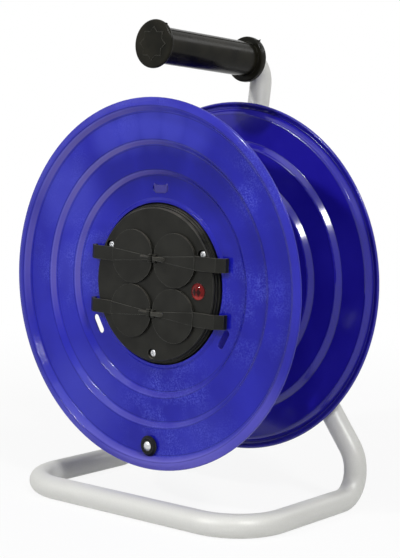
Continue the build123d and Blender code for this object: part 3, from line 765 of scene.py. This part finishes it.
def sweepBead(mesh, points, ups, halfWidth, rise, sink, steps=6, swell=None):
    # a low rounded bead along points, standing up from the surface and sunk a little into it
    rings = []
    for index, point in enumerate(points):
        ahead = points[min(index + 1, len(points) - 1)] - points[max(index - 1, 0)]
        side = ahead.cross(ups[index]).normalized()
        size = swell(index / (len(points) - 1)) if swell else 1.0
        ring = []
        for step in range(steps + 1):
            angle = math.pi * step / steps
            offset = side * math.cos(angle) * halfWidth * size + ups[index] * math.sin(angle) * rise * size
            ring.append(mesh.verts.new(point + offset))
        ring.append(mesh.verts.new(point - side * halfWidth * size - ups[index] * sink))
        ring.append(mesh.verts.new(point + side * halfWidth * size - ups[index] * sink))
        rings.append(ring)
    closeRings(mesh, rings)


# all in mm along the grip from its front face
gripRelief = {
    "frontDepth": 2.9,
    "height": 204.5,
    "slope": 3.1,
    "seamAngle": 37.0,
    "seamWidth": 0.55,
    "seamRise": 0.55,
    "seamSink": 0.4,
    "seamSteps": 24,
    "bodyRadius": 15.6,
    "bodyFrom": 3.6,
    "bodyTo": 126.8,
    "discRadius": 20.6,
    "discs": ((0.4, 3.4), (127.2, 132.2)),
    "flashWidth": 0.9,
    "flashRise": 0.9,
    "flashSink": 0.5,
    "flashFoot": 0.15,
    "flashSteps": 8,
    "tabAt": 130.6,
    "tabReach": 1.9,
    "tabSink": 0.6,
    "tabBend": 0.6,
    "tabHalfLength": 1.4,
    "tabHalfThick": 0.6,
    "tabShares": (0.0, 0.4, 0.75, 1.0),
    "tabSides": 8,
}


def onGrip(along, across, height):
    # along the grip's sloping axis from its front face, across it, and up from it
    tilt = math.radians(gripRelief["slope"])
    return atReel(
        across,
        gripRelief["frontDepth"] + along * math.cos(tilt) + height * math.sin(tilt),
        gripRelief["height"] - along * math.sin(tilt) + height * math.cos(tilt),
    )


def makeGripSeams():
    # the parting line of the mould along both sides of the grip
    relief = gripRelief
    mesh = bmesh.new()
    base = onGrip(0, 0, 0)
    count = relief["seamSteps"]
    for turn in (0, 180):
        angle = math.radians(relief["seamAngle"] + turn)
        across, height = math.sin(angle), math.cos(angle)
        up = (onGrip(0, across, height) - base).normalized()
        points = []
        for index in range(count + 1):
            along = relief["bodyFrom"] + (relief["bodyTo"] - relief["bodyFrom"]) * index / count
            points.append(onGrip(along, across * relief["bodyRadius"], height * relief["bodyRadius"]))
        sweepBead(
            mesh, points, [up] * len(points),
            relief["seamWidth"] / 1000, relief["seamRise"] / 1000, relief["seamSink"] / 1000,
        )
    newPiece("gripSeams", mesh, "grip", "stand")


def makeGripFlash():
    # flash left by the mould where its halves met, over both discs, with a torn tab on the rear one
    relief = gripRelief
    mesh = bmesh.new()
    angle = math.radians(relief["seamAngle"])
    base = onGrip(0, 0, 0)
    up = (onGrip(0, math.sin(angle), math.cos(angle)) - base).normalized()
    count = relief["flashSteps"]
    for start, end in relief["discs"]:
        points = []
        for index in range(count + 1):
            along = start + (end - start) * index / count
            points.append(onGrip(along, 0, 0) + up * (relief["discRadius"] - relief["flashFoot"]) / 1000)
        sweepBead(
            mesh, points, [up] * len(points),
            relief["flashWidth"] / 1000, relief["flashRise"] / 1000, relief["flashSink"] / 1000,
            swell=lambda share: 0.6 + 0.5 * math.sin(math.pi * share),
        )
    # the tab: a flat tongue of tapering rings
    ahead = (onGrip(1, 0, 0) - base).normalized()
    side = ahead.cross(up).normalized()
    foot = relief["discRadius"] - relief["tabSink"]
    rings = []
    for share in relief["tabShares"]:
        centre = onGrip(relief["tabAt"], 0, 0) + up * (foot + (relief["tabReach"] + relief["tabSink"]) * share) / 1000
        centre = centre + side * relief["tabBend"] / 1000 * share * share
        halfLength = relief["tabHalfLength"] / 1000 * (1.0 - 0.55 * share)
        halfThick = relief["tabHalfThick"] / 1000 * (1.0 - 0.5 * share)
        ring = []
        for turn in range(relief["tabSides"]):
            spread = 2 * math.pi * turn / relief["tabSides"]
            offset = ahead * math.cos(spread) * halfLength + side * math.sin(spread) * halfThick
            ring.append(mesh.verts.new(centre + offset))
        rings.append(ring)
    closeRings(mesh, rings)
    newPiece("gripFlash", mesh, "grip", "stand")


makeGripSeams()
makeGripFlash()
print("reel: grip relief made")


standWelds = {
    "legDepth": 131.2,
    "apexHeight": 28.5,
    "legAngle": 35.9,
    "tubeRadius": 10.0,
    "plateBack": 121.2,
    "beadFrom": 6.0,
    "beadTo": 42.0,
    "beadOffset": 4.4,
    "beadWidth": 1.9,
    "beadRise": 1.5,
    "joinAt": 14.6,
    "joinWidth": 2.3,
    "joinRise": 1.5,
    "ripplePitch": 1.7,
    "plateLift": 0.7,
    "beadSink": 0.8,
    "beadSteps": 72,
    "beadDrift": 0.35,
    "joinSweep": 210,
    "joinSteps": 120,
}


def makeLumps(length, pitch):
    # the scales of a hand-laid weld bead
    def swell(share):
        ends = min(1.0, 0.45 + 6.0 * share, 0.45 + 6.0 * (1.0 - share))
        scales = share * length / pitch
        return ends * (0.90 + 0.12 * math.sin(2 * math.pi * scales) + 0.06 * math.sin(7.3 * scales))
    return swell


def makeStandWelds():
    weld = standWelds
    mesh = bmesh.new()
    lean = math.radians(weld["legAngle"])
    top = atReel(0, weld["plateBack"] + weld["plateLift"], weld["apexHeight"])
    length = weld["beadTo"] - weld["beadFrom"]
    count = weld["beadSteps"]
    # along both edges of each leg, on the hub plate
    for side in (-1, 1):
        ahead = Vector((side * math.sin(lean), 0, -math.cos(lean)))
        across = Vector((math.cos(lean), 0, side * math.sin(lean)))
        for edge in (-1, 1):
            up = (Vector((0, 1, 0)) * 0.75 + across * edge * 0.66).normalized()
            points = []
            for index in range(count + 1):
                run = weld["beadFrom"] + length * index / count
                drift = weld["beadDrift"] * math.sin(run * 0.9 + edge + side)
                points.append(top + ahead * run / 1000 + across * edge * (weld["beadOffset"] + drift) / 1000)
            sweepBead(
                mesh, points, [up] * len(points),
                weld["beadWidth"] / 1000, weld["beadRise"] / 1000, weld["beadSink"] / 1000,
                swell=makeLumps(length, weld["ripplePitch"]),
            )
    # where the right leg's end meets the mast
    ahead = Vector((math.sin(lean), 0, -math.cos(lean)))
    across = Vector((math.cos(lean), 0, math.sin(lean)))
    middle = atReel(0, weld["legDepth"], weld["apexHeight"]) + ahead * weld["joinAt"] / 1000
    points, ups = [], []
    count = weld["joinSteps"]
    for index in range(count + 1):
        turn = math.radians(-weld["joinSweep"] / 2 + weld["joinSweep"] * index / count)
        up = Vector((0, 1, 0)) * math.cos(turn) + across * math.sin(turn)
        points.append(middle + up * weld["tubeRadius"] / 1000)
        ups.append(up)
    length = math.radians(weld["joinSweep"]) * weld["tubeRadius"]
    sweepBead(
        mesh, points, ups, weld["joinWidth"] / 1000, weld["joinRise"] / 1000, weld["beadSink"] / 1000,
        swell=makeLumps(length, weld["ripplePitch"]),
    )
    newPiece("standWelds", mesh, "stand", "stand")


makeStandWelds()
print("reel: stand welds made")


# the crown of a lid's rib, left and right of the hinge, in a lighter plastic as a painted highlight: x and depth
# pairs along it, how far it lies over the lid's middle, its half width and its rise
ribCrowns = {
    -1: {
        "path": ((2.6, 2.44), (3.2, 2.40), (11.0, 2.40), (12.2, 2.9), (13.6, 4.9)),
        "lift": 1.1,
        "halfWidth": 0.62,
        "rise": 0.2,
    },
    1: {
        "path": ((2.2, 2.46), (2.9, 2.40), (11.4, 2.40), (12.6, 3.1), (14.2, 4.9)),
        "lift": 0.1,
        "halfWidth": 1.6,
        "rise": 0.2,
    },
    "sink": 0.4,
    "pathSteps": 4,
    "roundSteps": 8,
}


def makeRibCrowns():
    count = ribCrowns["pathSteps"]
    for name, (side, row) in lidPlaces.items():
        crown = ribCrowns[side]
        mesh = bmesh.new()
        middle = row * reel["lidOffset"] - reel["socketDrop"] + crown["lift"]
        points = []
        for (nearX, nearDepth), (farX, farDepth) in zip(crown["path"], crown["path"][1:]):
            for step in range(count):
                share = step / count
                x = nearX + (farX - nearX) * share
                points.append(onInsert(side * x, nearDepth + (farDepth - nearDepth) * share, middle))
        lastX, lastDepth = crown["path"][-1]
        points.append(onInsert(side * lastX, lastDepth, middle))
        up = Vector((0, -1, 0))
        sweepBead(
            mesh, points, [up] * len(points),
            crown["halfWidth"] / 1000, crown["rise"] / 1000, ribCrowns["sink"] / 1000, ribCrowns["roundSteps"],
            swell=lambda share: min(1.0, 0.7 + 3.0 * share, 0.5 + 3.0 * (1.0 - share)),
        )
        newPiece("ribCrown_" + name[4:], mesh, "ribHighlight", name)


makeRibCrowns()
print("reel: rib crowns made")


barrelSeam = {
    "radius": 78.5,
    "angle": 128.0,
    "width": 13.0,
    "rise": 0.8,
    "from": 18.5,
    "to": 99.6,
    "spotPitch": 13.4,
    "spotRadius": 2.6,
    "spotDip": 0.55,
    "sink": 0.15,
    "edgeRound": 0.7,
    "stepsAcross": 26,
    "stepsAlong": 150,
}


def roundOff(share):
    # the rise of a quarter circle from its foot, for a share from 0 to 1
    return math.sqrt(max(0.0, 1 - (1 - share) ** 2))


def makeBarrelSeam():
    # the lapped edge of the rolled barrel, with a row of spot welds along it
    seam = barrelSeam
    mesh = bmesh.new()
    across, along = seam["stepsAcross"], seam["stepsAlong"]
    spots = int((seam["to"] - seam["from"]) / seam["spotPitch"])
    first = seam["from"] + (seam["to"] - seam["from"] - (spots - 1) * seam["spotPitch"]) / 2
    rows = []
    for row in range(along + 1):
        depth = seam["from"] + (seam["to"] - seam["from"]) * row / along
        line = []
        for column in range(across + 1):
            offset = seam["width"] * (column / across - 0.5)
            edge = min(1.0, (seam["width"] / 2 - abs(offset)) / seam["edgeRound"])
            fromEnd = min(depth - seam["from"], seam["to"] - depth)
            end = min(1.0, fromEnd / seam["edgeRound"])
            lift = seam["rise"] * roundOff(edge) * roundOff(end)
            for spot in range(spots):
                away = math.hypot(offset, depth - first - spot * seam["spotPitch"]) / seam["spotRadius"]
                lift -= seam["spotDip"] * math.exp(-(away ** 4)) * (1.0 if away < 2 else 0.0)
            angle = math.radians(seam["angle"]) - offset / seam["radius"]
            radius = seam["radius"] - seam["sink"] + lift
            line.append(mesh.verts.new(atReel(radius * math.cos(angle), depth, radius * math.sin(angle))))
        rows.append(line)
    for near, far in zip(rows, rows[1:]):
        for column in range(across):
            mesh.faces.new((near[column], near[column + 1], far[column + 1], far[column]))
    newPiece("barrelSeam", mesh, "drumInside", "drum")


makeBarrelSeam()
print("reel: barrel seam made")


# the layers run from the back to the hammered face, as depth and scale
slotTab = {
    "height": 82.0,
    "layers": ((16.4, 1.0), (15.5, 1.0), (15.2, 0.92), (15.32, 0.6)),
    "rightHalf": (
        (4.8, -3.7), (6.0, -3.4), (6.7, -2.6), (7.0, -1.0), (7.4, 1.6), (8.0, 3.4),
        (8.1, 4.4), (7.5, 4.9), (6.6, 4.6), (6.0, 3.6), (5.0, 3.1), (2.4, 3.0),
    ),
}


def makeSlotTab():
    # the barrel's tongue, pushed through the top slot, hammered flat and horned at its upper corners
    tab = slotTab
    mesh = bmesh.new()
    outline = list(tab["rightHalf"]) + [(-x, height) for x, height in reversed(tab["rightHalf"])]
    rings = []
    for depth, scale in tab["layers"]:
        ring = [atReel(x * scale, depth, tab["height"] + height * scale) for x, height in outline]
        rings.append([mesh.verts.new(point) for point in ring])
    closeRings(mesh, rings)
    newPiece("slotTab", mesh, "tab", "drum")


makeSlotTab()
print("reel: slot tab made")


# Studio
studio = {
    "floorWhite": 0.86,
    "floorReach": 12.0,
    "clearShare": 0.90,
    "shadowReach": 0.25,
    "clearReach": 1.2,
    "worldStrength": 0.18,
    "floorRoughness": 0.9,
    "lampTarget": (0, 0, 0.2),
}
# each lamp: power in watts, place, size
lamps = {
    "keyLamp": (22.0, (-0.42, -1.85, 1.30), (0.12, 0.12)),
    "fillLamp": (22.0, (1.55, -0.75, 1.60), (0.26, 0.40)),
    "sideLamp": (1.0, (-1.5, -1.2, 0.9), (0.5, 1.0)),
    "topLamp": (8.0, (0.15, -0.75, 2.25), (1.6, 1.2)),
    "backLamp": (5.0, (1.0, 1.5, 1.5), (0.9, 0.6)),
}


def seenDirectly(tree):
    # camera, mirror and glass rays, which should meet a clean white
    path = addNode(tree, "ShaderNodeLightPath")
    seen = calculate(tree, "MAXIMUM", path.outputs["Is Camera Ray"], path.outputs["Is Glossy Ray"])
    return calculate(tree, "MAXIMUM", seen, path.outputs["Is Transmission Ray"])


def makeFloor():
    material = bpy.data.materials.new("paleFloor")
    material.use_nodes = True
    tree = material.node_tree
    shader = tree.nodes["Principled BSDF"]
    white = studio["floorWhite"]
    shader.inputs["Base Color"].default_value = (white, white, white, 1)
    shader.inputs["Roughness"].default_value = studio["floorRoughness"]
    shader.inputs["Specular IOR Level"].default_value = 0.0
    glow = addNode(tree, "ShaderNodeEmission", sockets={"Color": (1, 1, 1, 1), "Strength": 1.0})
    place = objectPlace(tree)
    distance = addNode(tree, "ShaderNodeVectorMath", {"operation": "LENGTH"}, {0: place}).outputs["Value"]
    clear = addNode(
        tree, "ShaderNodeMapRange", {"interpolation_type": "SMOOTHSTEP"},
        {0: distance, 1: studio["shadowReach"], 2: studio["clearReach"], 3: studio["clearShare"], 4: 1.0},
    )
    share = calculate(tree, "MULTIPLY", seenDirectly(tree), clear.outputs[0])
    mix = addNode(tree, "ShaderNodeMixShader", sockets={0: share, 1: shader.outputs[0], 2: glow.outputs[0]})
    tree.links.new(mix.outputs[0], tree.nodes["Material Output"].inputs["Surface"])
    mesh = bmesh.new()
    reach = studio["floorReach"]
    corners = [(-reach, -reach), (reach, -reach), (reach, reach), (-reach, reach)]
    mesh.faces.new([mesh.verts.new((x, y, 0)) for x, y in corners])
    data = bpy.data.meshes.new("floor")
    mesh.to_mesh(data)
    mesh.free()
    floor = bpy.data.objects.new("floor", data)
    floor.data.materials.append(material)
    scene.collection.objects.link(floor)


def makeWorld():
    world = bpy.data.worlds.new("studioWorld")
    scene.world = world
    world.use_nodes = True
    tree = world.node_tree
    background = tree.nodes["Background"]
    background.inputs["Color"].default_value = (1, 1, 1, 1)
    strength = addNode(
        tree, "ShaderNodeMapRange", sockets={0: seenDirectly(tree), 3: studio["worldStrength"], 4: 1.0}
    )
    tree.links.new(strength.outputs[0], background.inputs["Strength"])


def makeLamp(name, power, place, size):
    data = bpy.data.lights.new(name, "AREA")
    data.shape = "RECTANGLE"
    data.size, data.size_y = size
    data.energy = power
    lamp = bpy.data.objects.new(name, data)
    lamp.location = place
    lamp.rotation_mode = "QUATERNION"
    lamp.rotation_quaternion = (Vector(studio["lampTarget"]) - Vector(place)).to_track_quat("-Z", "Y")
    scene.collection.objects.link(lamp)


makeFloor()
makeWorld()
for name, (power, place, size) in lamps.items():
    makeLamp(name, power, place, size)
print("reel: studio made")
